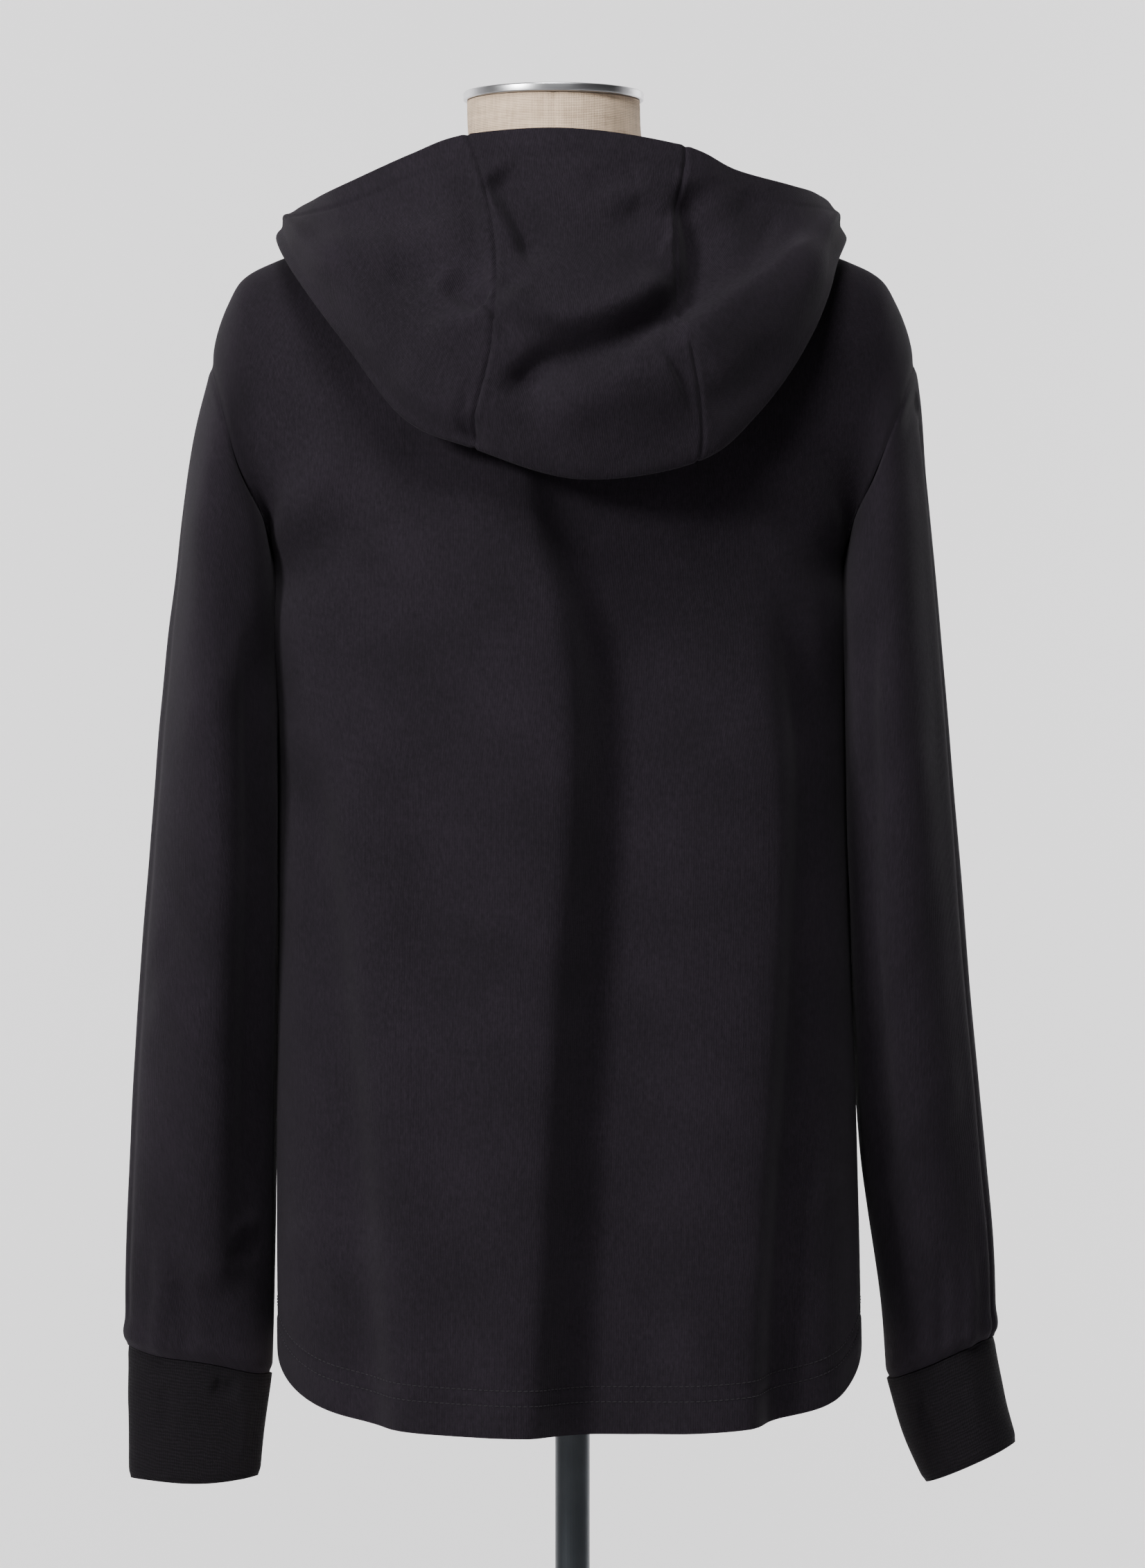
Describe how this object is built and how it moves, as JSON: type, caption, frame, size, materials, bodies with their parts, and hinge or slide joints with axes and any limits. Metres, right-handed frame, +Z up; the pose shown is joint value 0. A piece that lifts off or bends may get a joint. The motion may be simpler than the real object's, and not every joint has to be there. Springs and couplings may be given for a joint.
{
  "type": "hooded cardigan on a dress form",
  "caption": "Black knitted hooded cardigan with ribbed cuffs and a curved back hem, worn on a limbless linen dress form with a steel neck cap, pole and round base.",
  "frame": {"origin": "on the floor, at the middle of the base plate's underside, below the pole", "axes": "+Z up, +X towards the wearer's right, +Y the way the wearer's front faces, so the pictured back faces -Y"},
  "size_m": [0.5169, 0.33, 1.496],
  "materials": {
    "cloth": "matt sweatshirt knit with a fine upright rib",
    "rib": "matt fine crinkled rib",
    "linen": "coarse plain-weave linen",
    "steel": "polished",
    "gunmetal": "dark satin"
  },
  "bodies": {
    "root": {"back": "cloth", "front_left": "cloth", "front_right": "cloth", "sleeve_left": "cloth", "sleeve_right": "cloth", "cuff_left": "rib", "cuff_right": "rib", "hood_left": "cloth", "hood_centre": "cloth", "hood_right": "cloth", "form_torso": "linen", "neck_cap": "steel", "pole": "gunmetal", "base_plate": "gunmetal"}
  },
  "joints": []
}
